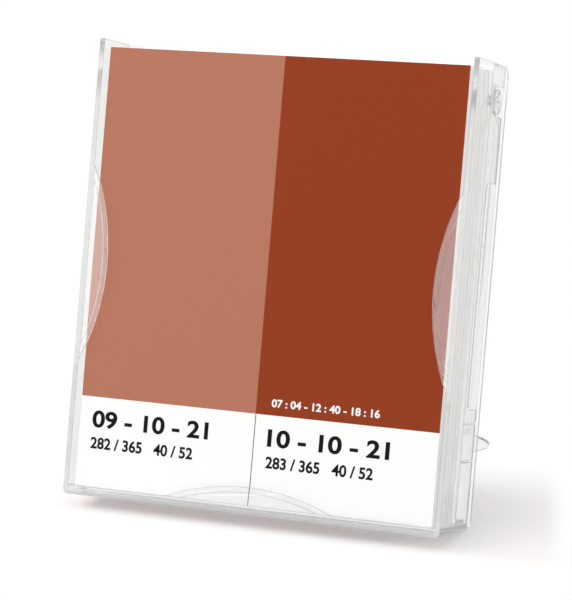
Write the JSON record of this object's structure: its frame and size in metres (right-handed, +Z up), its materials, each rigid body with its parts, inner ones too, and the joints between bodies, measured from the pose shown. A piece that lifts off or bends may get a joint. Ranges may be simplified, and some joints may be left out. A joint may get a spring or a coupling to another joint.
{
  "type": "page-a-day calendar",
  "caption": "Desk calendar of loose sheets in a clear moulded case with half-moon front tabs, a slide-off rear tray and a fold-out easel leg.",
  "frame": {"origin": "middle of the footprint on the table, under the box that holds the part with its leg open", "axes": "+X to the right of someone who reads the front sheet, -Y towards that reader, +Z up"},
  "size_m": [0.1604, 0.0976, 0.1871],
  "materials": {
    "clear_styrene": "clear moulded gloss",
    "printed_sheet": "printed matt coated paper",
    "sheet_paper": "matt coated paper",
    "card": "plain board"
  },
  "bodies": {
    "front_tray": {"front_tray": "clear_styrene"},
    "rear_tray": {"rear_tray": "clear_styrene"},
    "easel_leg": {"easel_leg": "clear_styrene"},
    "front_page": {"front_page": "printed_sheet"},
    "next_page": {"next_page": "sheet_paper"},
    "page_stack": {"pages_october": "sheet_paper", "pages_november": "sheet_paper", "pages_december": "sheet_paper", "title_card": "card", "pages_january": "sheet_paper", "pages_february": "sheet_paper", "pages_march": "sheet_paper", "pages_april": "sheet_paper", "pages_may": "sheet_paper", "pages_june": "sheet_paper", "pages_july": "sheet_paper", "pages_august": "sheet_paper", "pages_september": "sheet_paper", "pages_october_past": "sheet_paper", "backing_card": "card"}
  },
  "joints": [
    {"name": "rear_tray_slide", "type": "slide", "parent": "front_tray", "child": "rear_tray", "axis": [0, 0.9744, -0.225], "range_m": [0, 0.03]},
    {"name": "leg_hinge", "type": "hinge", "parent": "rear_tray", "child": "easel_leg", "pos_m": [0, 0.01828, 0.16631], "axis": [1, 0, 0], "range_deg": [-20, 0]},
    {"name": "front_page_slide", "type": "slide", "parent": "front_tray", "child": "front_page", "axis": [0, 0.225, 0.9744], "range_m": [0, 0.18]},
    {"name": "next_page_slide", "type": "slide", "parent": "front_tray", "child": "next_page", "axis": [0, 0.225, 0.9744], "range_m": [0, 0.18]},
    {"name": "page_stack_slide", "type": "slide", "parent": "front_tray", "child": "page_stack", "axis": [0, 0.225, 0.9744], "range_m": [0, 0.18]}
  ]
}
